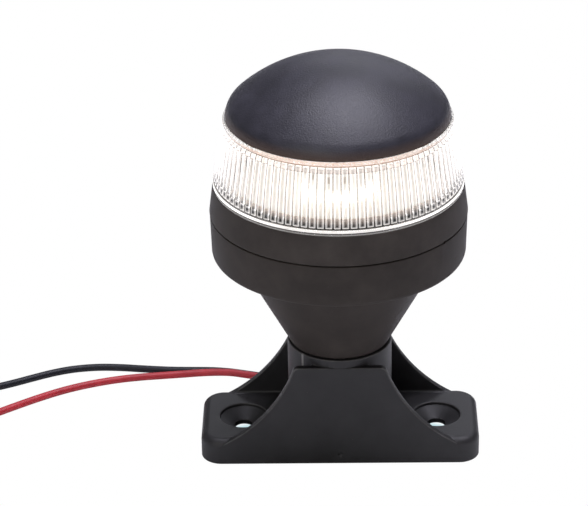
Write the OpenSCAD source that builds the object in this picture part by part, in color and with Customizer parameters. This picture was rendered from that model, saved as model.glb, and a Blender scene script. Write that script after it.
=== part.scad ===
// All-round LED navigation light on a fixed pedestal base.
// Two moulded housings, a ribbed clear lens with a domed cap, and a twist-lock head over the LED column.
// Frame: origin at the centre of the base's underside, +Z up, front face towards -Y.

/* [Base] */
// Width of the mounting plate, left to right
plate_w = 80; // [76:0.5:90]
// Depth of the mounting plate, front to back
plate_d = 30; // [30:0.5:34]
// Thickness of the mounting plate
plate_t = 7.7; // [7:0.1:9]
// Plan radius of the plate's corners
corner_r = 6; // [4:0.5:8]
// Rounding along the plate's top edge
edge_r = 2; // [1:0.25:2.5]
// Moulded wall thickness of the base
base_wall = 2.4; // [2:0.1:3]
// Radius of the round boss that carries the neck
boss_r = 14.9; // [14.6:0.1:14.9]
// Height of the boss above the mounting surface
boss_h = 32.9; // [32:0.1:34]

/* [Webs] */
// Thickness of the front and back webs
web_t = 2; // [1.6:0.1:2.4]
// Height of the webs' straight top edge
web_h = 31.3; // [30:0.1:31.8]
// Radius of the concave arc at each end of a web
arc_r = 43.1; // [42:0.1:44]
// Distance from the middle to each arc's centre
arc_x = 53.95; // [53:0.05:55]
// Height of each arc's centre
arc_z = 44.5; // [44:0.1:45]

/* [Screw wells] */
// Distance between the two mounting screw holes
hole_spacing = 56; // [54:0.5:58]
// Radius of each through hole
hole_r = 2.6; // [2:0.1:2.8]
// Radius of each well at the plate's top face
well_r = 6.8; // [6:0.1:7]

/* [Housing] */
// Radius of the lower housing at the seam
house_r = 36.1; // [35.5:0.1:36.5]
// Height of the lower housing's flat underside
house_z0 = 61.5; // [61:0.1:62]
// Height of the seam between lower housing and bezel ring
seam_z = 74.1; // [73.8:0.1:74.4]
// Radius of the conical neck where it meets the underside
cone_r1 = 29; // [28:0.1:30]
// Radius of the conical neck at its foot
cone_r0 = 14.3; // [14:0.1:14.6]

/* [Head] */
// Largest radius of the bezel ring, just above the seam
bezel_r = 36.2; // [36:0.1:37]
// Height of the bezel ring's top edge
bezel_z1 = 82.8; // [82:0.1:83.4]
// Lens radius at its bottom flange
lens_r0 = 34.85; // [34.5:0.05:35]
// Lens radius at its top
lens_r1 = 31.8; // [31.4:0.05:32]
// Height of the lens's top face
lens_z1 = 103; // [102.5:0.1:103.5]
// Radius of the cap's rim
cap_r = 31.2; // [30.4:0.1:31.3]
// Radius of the cap's dome
dome_r = 43.1; // [41:0.1:44]
// Turn of the head from locked to lift-off
twist = 20; // [15:1:22]

/* [Light source] */
// Width across flats of the hexagonal LED column
post_af = 16; // [15:0.5:17]
// Height of the LED row above the mounting surface
led_z = 82.4; // [82.3:0.1:90]

/* [Leads] */
// Outer diameter of each lead's insulation
lead_d = 2.2; // [1.8:0.1:2.4]
// Diameter of each stranded conductor
core_d = 1.1; // [0.8:0.1:1.2]

/* [Hidden] */
$fn = 96;

half_w = plate_w / 2;
half_d = plate_d / 2;
spigot_r = 10.1;      // plain part of the neck inside the boss
stub_r = 8.1;         // threaded part of the neck
wire_bore = 6.5;      // passage for the leads
ledge_z = 14;         // underside of the boss's clamping ledge
pocket_r = 12.6;      // pocket for the nut, open below
cup_z = 64;           // floor of the housing's cup
shelf_z = 74;         // top of the ribs that carry the heat spreader
collar_z = 79;        // top of the housing's collar
collar_r = 33.34;     // outer radius of the collar
rim_z = 85.6;         // top of the thin rim that shields the lens seal
bore_r = 33.4;        // bezel bore, a running fit on the collar
board_z = 67;         // underside of the driver board
board_t = 1.6;
post_z0 = 76;         // top face of the heat spreader
post_z1 = 98;         // top face of the LED column
lead_x = 1.6;         // each lead's distance from the middle plane
lead_z = 2.5;         // height at which the leads leave the base
exit_y = 16.2;        // outer face of the grommet
lug_a = [60, 180, 300];
notch_a = -37;        // direction of the alignment nick on the seam

// Routes of the free leads, from the grommet to the end of the insulation
red_route = [[-1.6, 16.2, 2.5], [-1.7, 18.5, 2.5], [-2.4, 21, 2.4], [-4, 23.4, 2.3], [-6.4, 25.4, 2.2],
    [-9.4, 27.2, 2.2], [-13, 28.8, 2.2], [-17, 30.2, 2.2], [-21, 31.4, 2.2], [-25, 32.6, 2.2],
    [-29, 33.9, 2.2], [-33, 35, 2.2], [-37.5, 35.6, 2], [-42.5, 35.8, 1.7], [-48, 35.6, 1.4],
    [-54, 35.2, 1.2], [-60, 34.4, 1.2], [-66, 33.2, 1.2], [-72, 31.4, 1.2], [-78, 29, 1.2],
    [-84, 25.9, 1.2], [-90, 22, 1.2], [-96, 17.6, 1.2], [-102, 13, 1.2], [-108, 8.6, 1.2],
    [-114, 5, 1.2], [-119, 2.8, 1.2], [-124.4, 1.4, 1.2], [-128.8, 0.6, 1.2]];
black_route = [[1.6, 16.2, 2.5], [1.5, 18.8, 2.5], [0.6, 22, 2.4], [-1.6, 25, 2.1], [-4.8, 27.4, 1.8],
    [-8.4, 29.3, 1.5], [-12.4, 30.9, 1.3], [-16.6, 32.4, 1.2], [-20.8, 33.6, 1.2], [-25, 34.8, 1.2],
    [-29.5, 36.2, 1.2], [-34, 37.4, 1.2], [-39, 38.1, 1.2], [-45, 38.3, 1.2], [-52, 38.6, 1.2],
    [-60, 39.5, 1.2], [-67, 40.4, 1.2], [-74, 40.6, 1.2], [-81, 39.5, 1.2], [-87, 37.3, 1.2],
    [-92.6, 34.4, 1.2], [-98.4, 31.2, 1.2], [-104.2, 28.4, 1.2], [-110, 26.2, 1.2], [-116, 24.6, 1.2],
    [-121, 23.8, 1.2], [-126, 23.4, 1.2], [-131, 23.2, 1.2]];

// ---------- helpers ----------
function arc_pts(cx, cy, r, a0, a1, n) =
    [for (i = [0:n]) let (a = a0 + (a1 - a0) * i / n) [cx + r * cos(a), cy + r * sin(a)]];
function lens_out(z) = let (t = (z - 84.4) / (lens_z1 - 84.4))
    lens_r0 + (lens_r1 - lens_r0) * t + 0.2 * 4 * t * (1 - t);
function cone_r(z) = cone_r0 + (cone_r1 - cone_r0) * (z - 34) / (house_z0 - 34);
function unit(v) = v / norm(v);
function tangent(p, i) = unit(p[min(i + 1, len(p) - 1)] - p[max(i - 1, 0)]);

module ring(r0, r1, z0, z1) {
    translate([0, 0, z0]) difference() {
        cylinder(r = r1, h = z1 - z0);
        translate([0, 0, -1]) cylinder(r = r0, h = z1 - z0 + 2);
    }
}

module torus(major, minor, z) {
    translate([0, 0, z]) rotate_extrude() translate([major, 0]) circle(r = minor, $fn = 32);
}

module rounded_plan(w, d, r) {
    square([w - 2 * r, d], center = true);
    square([w, d - 2 * r], center = true);
    for (sx = [-1, 1], sy = [-1, 1]) translate([sx * (w / 2 - r), sy * (d / 2 - r)]) circle(r = r);
}

// plate with a quarter-round along its whole top edge
module plate_block() {
    linear_extrude(plate_t - edge_r) rounded_plan(plate_w, plate_d, corner_r);
    linear_extrude(plate_t)
        rounded_plan(plate_w - 2 * edge_r, plate_d - 2 * edge_r, corner_r - edge_r);
    translate([0, 0, plate_t - edge_r]) {
        for (s = [-1, 1]) {
            translate([0, s * (half_d - edge_r), 0]) rotate([0, 90, 0])
                cylinder(r = edge_r, h = plate_w - 2 * corner_r, center = true);
            translate([s * (half_w - edge_r), 0, 0]) rotate([90, 0, 0])
                cylinder(r = edge_r, h = plate_d - 2 * corner_r, center = true);
        }
        for (sx = [-1, 1], sy = [-1, 1])
            translate([sx * (half_w - corner_r), sy * (half_d - corner_r), 0])
                rotate_extrude() translate([corner_r - edge_r, 0]) circle(r = edge_r);
    }
}

// upright web, drawn in its own X-Z outline with concave ends
module web(y0) {
    translate([0, y0 + web_t, 0]) rotate([90, 0, 0]) linear_extrude(web_t) difference() {
        translate([-34.5, 4]) square([69, web_h - 4]);
        for (s = [-1, 1]) translate([s * arc_x, arc_z]) circle(r = arc_r);
    }
}

module pan_screw(head_r, head_h, shank_r, len) {
    difference() {
        union() {
            cylinder(r = head_r, h = head_h);
            translate([0, 0, -len]) cylinder(r = shank_r, h = len + 0.1);
        }
        for (a = [0, 90]) rotate([0, 0, a])
            translate([-head_r * 0.55, -0.25, head_h * 0.45]) cube([head_r * 1.1, 0.5, head_h]);
    }
}

module seam_notch() {
    rotate([0, 0, notch_a]) translate([35.6, -0.6, seam_z - 0.9]) cube([2, 1.2, 1.8]);
}

module sweep(p, r, sides = 8) {
    rings = [for (i = [0:len(p) - 1]) let (t = tangent(p, i), u = unit(cross([0, 0, 1], t)), v = cross(t, u))
        for (k = [0:sides - 1]) let (a = 360 * (k + 0.5) / sides) p[i] + r * (cos(a) * u + sin(a) * v)];
    n = len(p);
    polyhedron(points = rings, faces = concat(
        [[for (k = [sides - 1:-1:0]) k]],
        [for (i = [0:n - 2], k = [0:sides - 1]) let (k2 = (k + 1) % sides)
            [i * sides + k, i * sides + k2, (i + 1) * sides + k2, (i + 1) * sides + k]],
        [[for (k = [0:sides - 1]) (n - 1) * sides + k]]), convexity = 6);
}

module along(p, r, len) {
    e = p[len(p) - 1];
    t = tangent(p, len(p) - 1);
    translate(e) rotate([0, acos(t[2]), atan2(t[1], t[0])]) cylinder(r = r, h = len, $fn = 24);
}

// ---------- base ----------
module mounting_base() {
    color("#2b2a2b") difference() {
        union() {
            plate_block();
            web(-half_d);
            web(half_d - web_t);
            cylinder(r = boss_r, h = boss_h - 0.6);
            translate([0, 0, boss_h - 0.6]) cylinder(r1 = boss_r, r2 = boss_r - 0.6, h = 0.6);
        }
        // bore, clamping ledge and nut pocket
        translate([0, 0, 17]) cylinder(r = spigot_r + 0.2, h = 20);
        translate([0, 0, 1]) cylinder(r = stub_r + 0.3, h = 20);
        translate([0, 0, -1]) cylinder(r = pocket_r, h = ledge_z + 1);
        // countersunk wells
        for (s = [-1, 1]) translate([s * hole_spacing / 2, 0, 0]) {
            translate([0, 0, -1]) cylinder(r = hole_r, h = plate_t + 2);
            translate([0, 0, 4.6]) cylinder(r1 = hole_r, r2 = well_r, h = plate_t - 4.6 - 0.9);
            translate([0, 0, plate_t - 0.9]) cylinder(r = well_r, h = 2);
        }
        // hollow underside, keeping the boss and a cup below each well
        difference() {
            translate([0, 0, -1]) linear_extrude(5.3 + 1)
                rounded_plan(plate_w - 2 * base_wall, plate_d - 2 * base_wall, corner_r - base_wall);
            translate([0, 0, -2]) cylinder(r = boss_r, h = 12);
            for (s = [-1, 1]) {
                translate([s * hole_spacing / 2, 0, 3.8]) cylinder(r = well_r + 1.8, h = 5);
                translate([s * 17.5 - 0.8, -half_d, -2]) cube([1.6, plate_d, 12]);
            }
        }
        // rear notch for the leads
        translate([-3.5, 10, -1]) cube([7, 8, 6.2]);
    }
}

module neck_washer() { color("silver") ring(stub_r + 0.4, 12, 13, 14); }

module neck_nut() {
    color("#3a3a3c") difference() {
        translate([0, 0, 8]) cylinder(r = 12, h = 5, $fn = 6);
        translate([0, 0, 7]) cylinder(r = stub_r + 0.15, h = 7);
    }
}

module neck_oring() { color("#161616") torus(12.4, 0.48, boss_h + 0.5); }

module cable_grommet() {
    color("#1c1c1c") difference() {
        union() {
            translate([-3.4, 12.2, 0.1]) cube([6.8, 3, 5]);
            translate([-4.6, half_d, 0.2]) cube([9.2, exit_y - half_d, 6.2]);
        }
        for (s = [-1, 1]) translate([s * lead_x, 11, lead_z]) rotate([-90, 0, 0])
            cylinder(r = lead_d / 2 + 0.1, h = 6);
    }
}

// ---------- lower housing with its neck ----------
module lower_housing() {
    zc = house_z0;
    rw = house_r - 0.25;
    outline = concat(
        [[wire_bore, 6.5], [stub_r - 0.5, 6.5], [stub_r, 7], [stub_r, 17.2], [spigot_r, 17.2],
         [spigot_r, boss_h], [11.6, boss_h], [11.6, boss_h + 1], [cone_r0 - 0.3, boss_h + 1],
         [cone_r0, boss_h + 1.3]],
        [[cone_r1, zc], [34.6, zc]],
        arc_pts(rw - 1.6, zc + 2.2, 1.6, -70, 0, 6),
        [[house_r, seam_z - 0.4], [house_r - 0.3, seam_z - 0.1], [collar_r, seam_z - 0.1],
         [collar_r, collar_z], [31.9, collar_z], [31.9, collar_z - 0.8], [30.9, collar_z - 0.8],
         [30.9, rim_z], [29.9, rim_z], [29.9, shelf_z + 0.6], [31.2, shelf_z - 0.7],
         [33.2, shelf_z - 2.7], [33.2, cup_z], [26, cup_z], [26, zc]],
        [[cone_r(37) - 3, 37], [wire_bore, 36]]);
    color("#343231") difference() {
        union() {
            rotate_extrude() polygon(outline);
            // ribs that carry the heat spreader
            for (a = [0:60:300]) rotate([0, 0, a + 30]) translate([28.5, -1, cup_z - 0.5])
                cube([5.2, 2, shelf_z - cup_z + 0.5]);
            // screw bosses of the heat spreader
            for (a = [30, 150, 270]) rotate([0, 0, a]) translate([27.2, 0, house_z0 + 0.9])
                cylinder(r = 3, h = shelf_z - house_z0 - 0.9);
            // pads of the driver board
            for (a = [90, 210, 330]) rotate([0, 0, a]) translate([25.2, 0, house_z0 + 0.9])
                cylinder(r = 2.4, h = board_z - house_z0 - 0.9);
        }
        for (a = [30, 150, 270]) rotate([0, 0, a])
            translate([27.2, 0, 66]) cylinder(r = 1.1, h = 20, $fn = 24);
        for (a = [90, 210, 330]) rotate([0, 0, a])
            translate([25.2, 0, 64.4]) cylinder(r = 0.9, h = 6, $fn = 24);
        // L-shaped slots of the twist lock
        for (a = lug_a) {
            sector_cut(a - 5.4, a + twist + 5.4, 32.3, 34.2, 75.3, 76.7);
            sector_cut(a + twist - 5.7, a + twist + 5.7, 32.4, 34, 76, collar_z + 1);
        }
        seam_notch();
    }
}

// part of a ring between two directions
module sector_cut(a0, a1, r0, r1, z0, z1) {
    rotate([0, 0, a0]) translate([0, 0, z0]) rotate_extrude(angle = a1 - a0)
        translate([r0, 0]) square([r1 - r0, z1 - z0]);
}

module lens_oring() { color("#161616") torus(31.4, 0.49, collar_z - 0.28); }

// ---------- turning head ----------
module bezel_ring() {
    color("#393633") difference() {
        union() {
            rotate_extrude() polygon(concat(
                [[bore_r, seam_z + 0.2], [bezel_r - 0.8, seam_z + 0.2]],
                arc_pts(bezel_r - 0.5, seam_z + 0.75, 0.5, -80, 10, 5),
                [[35.15, bezel_z1 - 0.15], [35, bezel_z1], [bore_r, bezel_z1]]));
            for (a = lug_a) sector_cut(a - 5, a + 5, 32.5, bore_r + 0.6, 75.4, 76.6);
        }
        seam_notch();
    }
}

module lens() {
    color([0.97, 0.96, 0.92, 0.4]) rotate_extrude() polygon(concat(
        [[31.2, collar_z + 0.5], [33.2, collar_z + 0.5], [33.2, bezel_z1], [34.9, bezel_z1],
         [35, bezel_z1 + 0.15], [35, 84.1]],
        [for (i = [0:6]) let (z = 84.4 + (lens_z1 - 0.3 - 84.4) * i / 6) [lens_out(z), z]],
        [[lens_r1 - 0.25, lens_z1], [29.95, lens_z1], [29.95, 100.7], [29.1, 100.7],
         [29.1, 99.9], [lens_out(99.2) - 2.2, 99.2]],
        [for (i = [0:4]) let (z = 96 - 11 * i / 4) [lens_out(z) - 2.2, z]],
        [[31.2, 83.2]]));
}

module cap_gasket() { color("#ecd8cb") ring(28.98, 29.9, 100.75, lens_z1 - 0.05); }

module top_cap() {
    sr = 6.2;
    wall = 2.2;
    cx = cap_r - sr;
    a = asin(cx / (dome_r - sr));
    zs = lens_z1 - (dome_r - sr) * cos(a);
    color("#3c3c42") rotate_extrude() polygon(concat(
        [[28.9, lens_z1], [cap_r - 0.3, lens_z1]],
        arc_pts(cx, lens_z1, sr, 3, 90 - a, 8),
        arc_pts(0, zs, dome_r, 90 - a + 2, 90, 20),
        arc_pts(0, zs, dome_r - wall, 90, 90 - a, 16),
        [[cx + (sr - wall) * sin(a), 100], [cx + (sr - wall) * sin(a) + 0.2, 99.8],
         [28.7, 99.8], [28.9, 100]]));
}

// ---------- light source ----------
module heat_spreader() {
    color("#b8babd") difference() {
        translate([0, 0, shelf_z]) cylinder(r = 29.7, h = post_z0 - shelf_z);
        translate([0, 0, shelf_z - 1]) cylinder(r = 3.5, h = 5);
        for (a = [30, 150, 270]) rotate([0, 0, a])
            translate([27.2, 0, shelf_z - 1]) cylinder(r = 1.6, h = 5, $fn = 32);
        for (s = [-1, 1]) translate([5.8 * s, 0, shelf_z - 1]) cylinder(r = 1.6, h = 5, $fn = 32);
    }
}

module spreader_screws() {
    color("silver") for (a = [30, 150, 270]) rotate([0, 0, a]) translate([27.2, 0, post_z0])
        pan_screw(2.2, 1.5, 1, 8);
}

module led_post() {
    color("#c4c6c8") difference() {
        translate([0, 0, post_z0])
            cylinder(r = post_af / 2 / cos(30), h = post_z1 - post_z0, $fn = 6);
        translate([0, 0, post_z0 - 1]) cylinder(r = 3, h = 30);
        for (s = [-1, 1]) translate([5.8 * s, 0, 0]) {
            translate([0, 0, post_z0 - 1]) cylinder(r = 1.25, h = 6, $fn = 32);
            translate([0, 0, post_z1 - 6]) cylinder(r = 1.25, h = 7, $fn = 32);
        }
    }
}

module post_screws() {
    color("silver") for (s = [-1, 1]) translate([5.8 * s, 0, shelf_z]) rotate([180, 0, 0])
        pan_screw(2.4, 1.6, 1.2, 6);
}

module led_sides() {
    for (a = [30:60:330]) rotate([0, 0, a]) children();
}

module led_boards() {
    color("#f2f2ee") led_sides() translate([post_af / 2, -4, 80.35]) cube([1, 8, 17.15]);
}

// two LEDs side by side on each board
module led_places() {
    led_sides() for (s = [-1, 1]) translate([post_af / 2 + 1, 2 * s, led_z]) children();
}

module led_packages() { color("#f6f3e4") led_places() translate([0, -1.75, -1.75]) cube([0.9, 3.5, 3.5]); }

module led_domes() {
    color("#fff3c8") led_places() translate([0.9, 0, 0]) intersection() {
        sphere(r = 1.4, $fn = 32);
        translate([0, -2, -2]) cube([2, 4, 4]);
    }
}

module led_resistors() {
    color("#3a3634") led_sides() for (p = [[-2.2, 87.4], [2.2, 87.4], [0, 90.6], [0, 94]])
        translate([post_af / 2 + 1, p[0] - 0.55, p[1] - 0.9]) cube([0.55, 1.1, 1.8]);
}

module led_feed_wires() {
    color("#d8d4c8") for (s = [-1, 1]) translate([0, 1.2 * s, board_z + board_t])
        cylinder(r = 0.6, h = post_z1 - 1 - board_z - board_t, $fn = 24);
}

module lower_reflector() {
    color("#f4f4f0") rotate_extrude() polygon([[9.7, post_z0], [11.6, post_z0], [11.6, 79],
        [29.4, 81.4], [29.4, 82.6], [9.7, 80.2]]);
}

module top_reflector() {
    color("#f4f4f0") difference() {
        rotate_extrude() polygon([[0, post_z1], [10, post_z1], [27, 98.8], [27, 99.6], [0, 99.6]]);
        for (s = [-1, 1]) translate([5.8 * s, 0, post_z1 - 1]) cylinder(r = 1.5, h = 5, $fn = 32);
    }
}

module reflector_screws() {
    color("silver") for (s = [-1, 1]) translate([5.8 * s, 0, 99.6]) pan_screw(2.4, 1.6, 1.2, 6.5);
}

// ---------- driver ----------
module driver_board() {
    color("#1d5b34") difference() {
        translate([0, 0, board_z]) cylinder(r = 28, h = board_t);
        for (a = [30, 150, 270]) rotate([0, 0, a]) translate([27.2, 0, board_z - 1]) cylinder(r = 3.3, h = 5);
        for (a = [90, 210, 330]) rotate([0, 0, a]) translate([25.2, 0, board_z - 1])
            cylinder(r = 1.1, h = 5, $fn = 32);
    }
}

module driver_screws() {
    color("silver") for (a = [90, 210, 330]) rotate([0, 0, a]) translate([25.2, 0, board_z + board_t])
        pan_screw(1.9, 1.3, 0.8, 4);
}

module driver_capacitors() {
    color("#c9ccd0") for (s = [-1, 1]) translate([14, 5 * s, board_z + board_t]) {
        translate([-2.8, -2.8, 0]) cube([5.6, 5.6, 0.8]);
        cylinder(r = 2.5, h = 4.6);
    }
}

module driver_coil() {
    color("#4a4a4c") translate([-13, 6, board_z + board_t]) difference() {
        union() {
            translate([-3.5, -3.5, 0]) cube([7, 7, 0.8]);
            cylinder(r = 3.2, h = 3.8);
        }
        translate([0, 0, 1.2]) ring(2.2, 4, 0, 1.8);
    }
}

module driver_chip() {
    color("#202022") translate([-13, -6, board_z + board_t]) {
        translate([-2, -2.5, 0.1]) cube([4, 5, 1.5]);
        for (s = [-1, 1], i = [-1.5:1:1.5]) translate([s * 2.5 - 0.6, i * 1.27 - 0.2, 0])
            cube([1.2, 0.4, 0.6]);
    }
}

module driver_diodes() {
    color("#2a2a2c") for (i = [0:1]) translate([3 + 6 * i, -15, board_z + board_t])
        translate([-2.1, -1.3, 0]) cube([4.2, 2.6, 2]);
}

module driver_resistors() {
    color("#3a3634") for (i = [0:5]) translate([-7.5 + 3 * i, 14.5, board_z + board_t])
        translate([-0.8, -1.6, 0]) cube([1.6, 3.2, 0.6]);
}

module solder_joints() {
    color("#c8ccd2") for (s = [-1, 1]) translate([lead_x * s, 0, board_z + board_t])
        cylinder(r1 = 1.1, r2 = 0.4, h = 1.1, $fn = 32);
}

// ---------- leads ----------
// inside: down the neck, a bend under the boss, out through the grommet
module inner_lead(s) {
    bend = 4;
    r = lead_d / 2;
    translate([s * lead_x, 0, 0]) {
        translate([0, 0, lead_z + bend]) cylinder(r = r, h = board_z - lead_z - bend, $fn = 32);
        translate([0, bend, lead_z + bend]) rotate([0, -90, 0]) rotate([0, 0, 180])
            rotate_extrude(angle = 90, $fn = 48) translate([bend, 0]) circle(r = r, $fn = 32);
        translate([0, bend, lead_z]) rotate([-90, 0, 0]) cylinder(r = r, h = exit_y - bend, $fn = 32);
    }
}

module inner_lead_red() { color("#b02a30") inner_lead(-1); }
module inner_lead_black() { color("#1a1b1f") inner_lead(1); }
module red_lead() { color("#b02a30") sweep(red_route, lead_d / 2); }
module black_lead() { color("#1a1b1f") sweep(black_route, lead_d / 2); }
module red_conductor() { color("#c9b08c") along(red_route, core_d / 2, 6); }
module black_conductor() { color("#c9b08c") along(black_route, core_d / 2, 6); }

mounting_base();
lower_housing();
bezel_ring();
lens();
top_cap();
lens_oring();
cap_gasket();
neck_oring();
neck_washer();
neck_nut();
cable_grommet();
heat_spreader();
spreader_screws();
led_post();
post_screws();
led_boards();
led_packages();
led_domes();
led_resistors();
led_feed_wires();
lower_reflector();
top_reflector();
reflector_screws();
driver_board();
driver_screws();
driver_capacitors();
driver_coil();
driver_chip();
driver_diodes();
driver_resistors();
solder_joints();
inner_lead_red();
inner_lead_black();
red_lead();
black_lead();
red_conductor();
black_conductor();
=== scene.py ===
"""Looks of the all-round LED navigation light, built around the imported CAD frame."""
import math

import bmesh
import bpy
import numpy as np
from mathutils import Matrix, Vector


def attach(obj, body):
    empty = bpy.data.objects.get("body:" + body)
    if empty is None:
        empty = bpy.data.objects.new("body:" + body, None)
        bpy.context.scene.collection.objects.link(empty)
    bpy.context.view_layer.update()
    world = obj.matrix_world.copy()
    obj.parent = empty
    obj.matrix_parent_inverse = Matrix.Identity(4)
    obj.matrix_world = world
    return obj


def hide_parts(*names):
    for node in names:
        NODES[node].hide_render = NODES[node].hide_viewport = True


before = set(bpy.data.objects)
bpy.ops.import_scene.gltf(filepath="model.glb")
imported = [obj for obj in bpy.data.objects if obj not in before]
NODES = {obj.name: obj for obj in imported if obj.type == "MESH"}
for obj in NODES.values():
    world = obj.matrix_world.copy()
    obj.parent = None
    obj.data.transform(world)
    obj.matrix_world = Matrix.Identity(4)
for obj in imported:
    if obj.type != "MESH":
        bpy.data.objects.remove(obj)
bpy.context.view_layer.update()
MM = 0.001
BASE, HEAD = "light_base", "head"
PI = math.pi
SHARP = 35  # degrees between two faces from which their edge is hard


# ---------- camera ----------
CAM_DIST, CAM_ELEV, CAM_AIM_Z = 0.8, math.radians(26.84), 0.0602
CAM_ROLL = math.radians(-0.4)

camera_data = bpy.data.cameras.new("Camera")
camera_data.sensor_width = 36
camera_data.lens = 173.5
camera_data.shift_x = -0.0765
camera_data.clip_end = 20
camera = bpy.data.objects.new("Camera", camera_data)
bpy.context.scene.collection.objects.link(camera)
camera.matrix_world = (
    Matrix.Translation((0, -CAM_DIST * math.cos(CAM_ELEV), CAM_AIM_Z + CAM_DIST * math.sin(CAM_ELEV)))
    @ Matrix.Rotation(PI / 2 - CAM_ELEV, 4, "X")
    @ Matrix.Rotation(CAM_ROLL, 4, "Z")
)
bpy.context.scene.camera = camera


# ---------- mesh helpers ----------
def link(obj):
    bpy.context.scene.collection.objects.link(obj)
    return obj


def mesh_piece(name, points, faces, sharp=SHARP):
    """A piece from points in millimetres, smooth but for its hard edges."""
    mesh = bpy.data.meshes.new(name)
    mesh.from_pydata((np.asarray(points, float) * MM).tolist(), [], [list(map(int, f)) for f in faces])
    mesh.validate()
    mesh.shade_smooth()
    if sharp is not None:
        mesh.set_sharp_from_angle(angle=math.radians(sharp))
    return link(bpy.data.objects.new(name, mesh))


def outward(obj):
    """Turns every face of a closed mesh to face out."""
    bm = bmesh.new()
    bm.from_mesh(obj.data)
    bmesh.ops.recalc_face_normals(bm, faces=bm.faces)
    bm.to_mesh(obj.data)
    bm.free()
    return obj


def arc(cx, cz, r, a0, a1, n):
    """Points of an arc, in degrees."""
    return [(cx + r * math.cos(math.radians(a0 + (a1 - a0) * i / n)),
             cz + r * math.sin(math.radians(a0 + (a1 - a0) * i / n))) for i in range(n + 1)]


def filleted(outline, steps=5):
    """A closed outline of (r, z) or (r, z, fillet radius) with its corners rounded."""
    out, n = [], len(outline)
    for i, p in enumerate(outline):
        rad = p[2] if len(p) > 2 else 0
        if rad <= 0:
            out.append((p[0], p[1]))
            continue
        c = Vector(p[:2])
        u, v = Vector(outline[i - 1][:2]) - c, Vector(outline[(i + 1) % n][:2]) - c
        lu, lv = u.length, v.length
        u, v = u.normalized(), v.normalized()
        half = math.acos(max(-1.0, min(1.0, u.dot(v)))) / 2
        d = min(rad / math.tan(half), 0.49 * lu, 0.49 * lv)
        r = d * math.tan(half)
        centre = c + (u + v).normalized() * (r / math.sin(half))
        a, b = c + u * d - centre, c + v * d - centre
        sweep = math.atan2(a.x * b.y - a.y * b.x, a.dot(b))
        for k in range(steps + 1):
            t = sweep * k / steps
            out.append((centre.x + a.x * math.cos(t) - a.y * math.sin(t),
                        centre.y + a.x * math.sin(t) + a.y * math.cos(t)))
    return out


def lathe(name, outline, closed=True, segments=192):
    """A closed outline, or an open one that starts and ends on the axis, turned about Z."""
    pts, faces, rings = [], [], []
    for r, z in outline:
        if r < 1e-6:
            rings.append([len(pts)] * segments)
            pts.append((0, 0, z))
            continue
        rings.append(list(range(len(pts), len(pts) + segments)))
        pts += [(r * math.cos(2 * PI * k / segments), r * math.sin(2 * PI * k / segments), z)
                for k in range(segments)]
    pairs = [(i, i + 1) for i in range(len(rings) - 1)] + ([(len(rings) - 1, 0)] if closed else [])
    for i, j in pairs:
        for k in range(segments):
            m = (k + 1) % segments
            ring = [rings[i][k], rings[i][m], rings[j][m], rings[j][k]]
            face = [v for n, v in enumerate(ring) if v not in ring[:n]]
            if len(face) > 2:
                faces.append(face)
    obj = mesh_piece(name, pts, faces, sharp=None)
    outward(obj)
    obj.data.shade_smooth()
    obj.data.set_sharp_from_angle(angle=math.radians(SHARP))
    return obj


def prism(name, outline, z0, z1):
    """An upright closed prism over a plan outline."""
    n = len(outline)
    pts = [(x, y, z0) for x, y in outline] + [(x, y, z1) for x, y in outline]
    faces = [list(range(n)), list(range(n, 2 * n))]
    faces += [[i, (i + 1) % n, n + (i + 1) % n, n + i] for i in range(n)]
    return outward(mesh_piece(name, pts, faces))


def disc(cx, cy, r, n=40):
    return [(cx + r * math.cos(2 * PI * i / n), cy + r * math.sin(2 * PI * i / n)) for i in range(n)]


def sector(a0, a1, r0, r1, n=10):
    """Plan outline of a piece of a ring, between two angles in degrees and two radii."""
    return arc(0, 0, r0, a0, a1, n) + arc(0, 0, r1, a1, a0, n)


def turned(outline, degrees):
    """A plan outline turned about Z."""
    c, s = math.cos(math.radians(degrees)), math.sin(math.radians(degrees))
    return [(x * c - y * s, x * s + y * c) for x, y in outline]


def box_plan(x0, y0, x1, y1):
    return [(x0, y0), (x1, y0), (x1, y1), (x0, y1)]


def combine(obj, tools, operation):
    """Adds or takes away closed meshes, and removes them."""
    for t in tools:
        m = obj.modifiers.new("combine", "BOOLEAN")
        m.operation, m.solver, m.object = operation, "EXACT", t
        dg = bpy.context.evaluated_depsgraph_get()
        mesh = bpy.data.meshes.new_from_object(obj.evaluated_get(dg), depsgraph=dg)
        obj.modifiers.clear()
        old, obj.data = obj.data, mesh
        bpy.data.meshes.remove(old)
    for t in tools:
        mesh = t.data
        bpy.data.objects.remove(t)
        bpy.data.meshes.remove(mesh)
    obj.data.shade_smooth()
    obj.data.set_sharp_from_angle(angle=math.radians(SHARP))
    return obj


def joined(name, parts):
    """One mesh piece out of several separate closed shells."""
    pts, faces, base = [], [], 0
    for p, f in parts:
        pts += list(p)
        faces += [[base + i for i in face] for face in f]
        base += len(p)
    return outward(mesh_piece(name, pts, faces))


def tube(path, radius, sides=10):
    """Points and faces of a tube along a path, in millimetres, with rounded-off ends."""
    path = [Vector(p) for p in path]
    n = len(path)
    pts, faces = [], []
    up = Vector((0, 0, 1))
    for i, p in enumerate(path):
        t = (path[min(i + 1, n - 1)] - path[max(i - 1, 0)]).normalized()
        side = t.cross(up)
        side = side.normalized() if side.length > 1e-3 else Vector((1, 0, 0))
        top = side.cross(t)
        pts += [p + radius * (math.cos(2 * PI * k / sides) * side + math.sin(2 * PI * k / sides) * top)
                for k in range(sides)]
    for i in range(n - 1):
        for k in range(sides):
            m = (k + 1) % sides
            faces.append([i * sides + k, i * sides + m, (i + 1) * sides + m, (i + 1) * sides + k])
    faces += [list(range(sides)), list(range((n - 1) * sides, n * sides))]
    return pts, faces


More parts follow.
